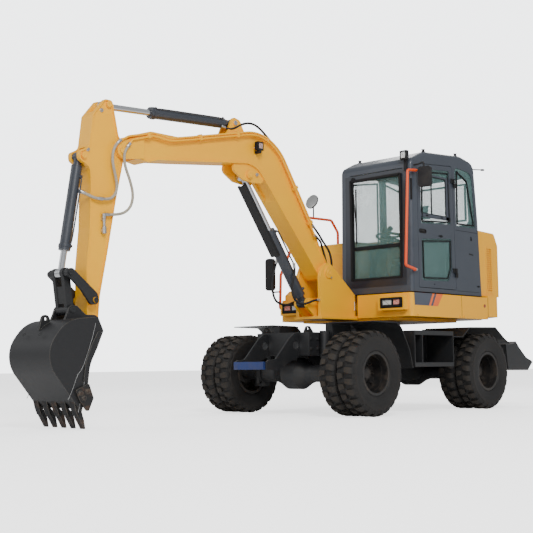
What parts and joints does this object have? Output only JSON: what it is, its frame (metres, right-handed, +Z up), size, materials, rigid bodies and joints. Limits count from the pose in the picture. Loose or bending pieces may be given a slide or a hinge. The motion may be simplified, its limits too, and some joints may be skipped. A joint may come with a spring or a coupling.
{
  "type": "wheeled excavator",
  "caption": "Compact wheeled excavator: slewing upper with a cab, boom, arm and bucket on a four-wheel chassis with twin tyres and a rear blade.",
  "frame": {"origin": "on the ground under the middle of the overall box, in the pose of the picture", "axes": "+X to the front, where the boom and bucket are; +Y to the left, the cab's side; +Z up"},
  "size_m": [6.5654, 2.26, 3.0283],
  "materials": {
    "yellow_paint": "semi-gloss",
    "dark_grey_paint": "semi-gloss",
    "black_paint": "satin",
    "cylinder_grey": "satin",
    "rod_chrome": "polished",
    "blue_paint": "satin",
    "orange_paint": "semi-gloss",
    "rim_paint": "satin",
    "tyre_rubber": "matt",
    "glass": "clear",
    "tooth_steel": "worn",
    "seat_fabric": "woven",
    "black_plastic": "satin",
    "lamp_lens": "clear",
    "engine_iron": "cast"
  },
  "bodies": {
    "chassis": {"front_axle": "black_paint", "rear_axle": "black_paint", "chassis_frame": "black_paint", "front_gussets": "black_paint", "blade_brackets": "black_paint", "bumper_bar": "blue_paint", "slew_ring": "black_paint", "side_boxes": "black_paint", "fenders": "black_paint", "axle_locks": "black_paint", "drive_shafts": "black_paint"},
    "upper": {"deck_frame": "yellow_paint", "skirts": "yellow_paint", "headlamps": "lamp_lens", "counterweight": "yellow_paint", "engine_hood": "yellow_paint", "engine_block": "engine_iron", "right_hood": "yellow_paint", "cab_frame": "dark_grey_paint", "cab_glass": "glass", "seat": "seat_fabric", "controls": "black_plastic", "hand_rails": "orange_paint", "mirrors": "black_plastic", "work_lamps": "black_plastic", "hood_grilles": "yellow_paint"},
    "door": {"cab_door": "dark_grey_paint", "door_glass": "glass", "door_handle": "black_plastic"},
    "knuckle_left": {"knuckle_left": "black_paint"},
    "knuckle_right": {"knuckle_right": "black_paint"},
    "wheel_front_left": {"tyres_front_left": "tyre_rubber", "rim_front_left": "rim_paint"},
    "wheel_front_right": {"tyres_front_right": "tyre_rubber", "rim_front_right": "rim_paint"},
    "wheel_rear_left": {"tyres_rear_left": "tyre_rubber", "rim_rear_left": "rim_paint"},
    "wheel_rear_right": {"tyres_rear_right": "tyre_rubber", "rim_rear_right": "rim_paint"},
    "blade": {"blade": "black_paint"},
    "blade_cylinder_barrel": {"blade_cylinder_barrel": "cylinder_grey"},
    "blade_cylinder_rod": {"blade_cylinder_rod": "rod_chrome"},
    "boom": {"boom": "yellow_paint", "boom_lamp": "black_plastic", "boom_pipes": "yellow_paint"},
    "boom_cylinder_barrel": {"boom_cylinder_barrel": "cylinder_grey"},
    "boom_cylinder_rod": {"boom_cylinder_rod": "rod_chrome", "boom_rod_guard": "black_paint"},
    "arm": {"arm": "yellow_paint"},
    "arm_cylinder_barrel": {"arm_cylinder_barrel": "cylinder_grey"},
    "arm_cylinder_rod": {"arm_cylinder_rod": "rod_chrome"},
    "bucket": {"bucket": "black_paint", "bucket_teeth": "tooth_steel"},
    "bucket_levers": {"bucket_levers": "black_paint"},
    "bucket_link": {"bucket_link": "black_paint"},
    "bucket_cylinder_barrel": {"bucket_cylinder_barrel": "cylinder_grey"},
    "bucket_cylinder_rod": {"bucket_cylinder_rod": "rod_chrome"}
  },
  "joints": [
    {"name": "slew", "type": "hinge", "parent": "chassis", "child": "upper", "pos_m": [-1.2007, 0, 1], "axis": [0, 0, 1], "continuous": true},
    {"name": "steer_left", "type": "hinge", "parent": "chassis", "child": "knuckle_left", "pos_m": [-0.0507, 0.565, 0.43], "axis": [0, 0, 1], "range_deg": [-30, 30]},
    {"name": "steer_right", "type": "hinge", "parent": "chassis", "child": "knuckle_right", "pos_m": [-0.0507, -0.565, 0.43], "axis": [0, 0, 1], "range_deg": [-30, 30]},
    {"name": "wheel_front_left_spin", "type": "hinge", "parent": "knuckle_left", "child": "wheel_front_left", "pos_m": [-0.0507, 0.8625, 0.43], "axis": [0, 1, 0], "continuous": true},
    {"name": "wheel_front_right_spin", "type": "hinge", "parent": "knuckle_right", "child": "wheel_front_right", "pos_m": [-0.0507, -0.8625, 0.43], "axis": [0, 1, 0], "continuous": true},
    {"name": "wheel_rear_left_spin", "type": "hinge", "parent": "chassis", "child": "wheel_rear_left", "pos_m": [-2.1507, 0.8625, 0.43], "axis": [0, 1, 0], "continuous": true},
    {"name": "wheel_rear_right_spin", "type": "hinge", "parent": "chassis", "child": "wheel_rear_right", "pos_m": [-2.1507, -0.8625, 0.43], "axis": [0, 1, 0], "continuous": true},
    {"name": "blade_lower", "type": "hinge", "parent": "chassis", "child": "blade", "pos_m": [-2.5007, 0, 0.48], "axis": [0, -1, 0], "range_deg": [0, 50]},
    {"name": "blade_barrel_turn", "type": "hinge", "parent": "chassis", "child": "blade_cylinder_barrel", "pos_m": [-2.4707, 0, 0.78], "axis": [0, -1, 0], "range_deg": [0, 29]},
    {"name": "blade_rod_slide", "type": "slide", "parent": "blade_cylinder_barrel", "child": "blade_cylinder_rod", "axis": [-0.8992, 0, -0.4375], "range_m": [0, 0.181]},
    {"name": "door_swing", "type": "hinge", "parent": "upper", "child": "door", "pos_m": [-1.7247, 0.946, 1.5], "axis": [0, 0, 1], "range_deg": [0, 165]},
    {"name": "boom_lift", "type": "hinge", "parent": "upper", "child": "boom", "pos_m": [-0.3807, 0, 1.52], "axis": [0, -1, 0], "range_deg": [-60, 45]},
    {"name": "boom_barrel_turn", "type": "hinge", "parent": "upper", "child": "boom_cylinder_barrel", "pos_m": [-0.1627, 0, 1.188], "axis": [0, -1, 0], "range_deg": [-57, 43]},
    {"name": "boom_rod_slide", "type": "slide", "parent": "boom_cylinder_barrel", "child": "boom_cylinder_rod", "axis": [0.5832, 0, 0.8123], "range_m": [-0.378, 0.284]},
    {"name": "arm_swing", "type": "hinge", "parent": "boom", "child": "arm", "pos_m": [2.4023, 0, 2.464], "axis": [0, 1, 0], "range_deg": [-60, 50]},
    {"name": "arm_barrel_turn", "type": "hinge", "parent": "boom", "child": "arm_cylinder_barrel", "pos_m": [0.9273, 0, 2.972], "axis": [0, 1, 0], "range_deg": [-2.5, 2.1]},
    {"name": "arm_rod_slide", "type": "slide", "parent": "arm_cylinder_barrel", "child": "arm_cylinder_rod", "axis": [0.998, 0, -0.064], "range_m": [-0.39, 0.325]},
    {"name": "bucket_curl", "type": "hinge", "parent": "arm", "child": "bucket", "pos_m": [2.6933, 0, 0.917], "axis": [0, 1, 0], "range_deg": [-25, 125]},
    {"name": "lever_turn", "type": "hinge", "parent": "arm", "child": "bucket_levers", "pos_m": [2.7123, 0, 1.1], "axis": [0, 1, 0], "range_deg": [-20, 99]},
    {"name": "link_turn", "type": "hinge", "parent": "bucket_levers", "child": "bucket_link", "pos_m": [2.9753, 0, 1.324], "axis": [0, 1, 0], "range_deg": [-48, 10]},
    {"name": "bucket_barrel_turn", "type": "hinge", "parent": "arm", "child": "bucket_cylinder_barrel", "pos_m": [2.8033, 0, 2.366], "axis": [0, 1, 0], "range_deg": [-0.7, 3.2]},
    {"name": "bucket_rod_slide", "type": "slide", "parent": "bucket_cylinder_barrel", "child": "bucket_cylinder_rod", "axis": [0.1629, 0, -0.9866], "range_m": [-0.0945, 0.4705]}
  ],
  "couplings": [
    {"joint": "steer_right", "follows": "steer_left", "ratio": 1},
    {"joint": "blade_barrel_turn", "follows": "blade_lower", "ratio": 0.578},
    {"joint": "blade_rod_slide", "follows": "blade_lower", "m_per_rad": 0.2063},
    {"joint": "boom_barrel_turn", "follows": "boom_lift", "ratio": 0.94},
    {"joint": "boom_rod_slide", "follows": "boom_lift", "m_per_rad": 0.36},
    {"joint": "arm_barrel_turn", "follows": "arm_swing", "ratio": 0.04},
    {"joint": "arm_rod_slide", "follows": "arm_swing", "m_per_rad": 0.37},
    {"joint": "lever_turn", "follows": "bucket_curl", "ratio": 0.79},
    {"joint": "link_turn", "follows": "bucket_curl", "ratio": -0.38},
    {"joint": "bucket_barrel_turn", "follows": "bucket_curl", "ratio": 0.025},
    {"joint": "bucket_rod_slide", "follows": "bucket_curl", "m_per_rad": 0.215}
  ]
}
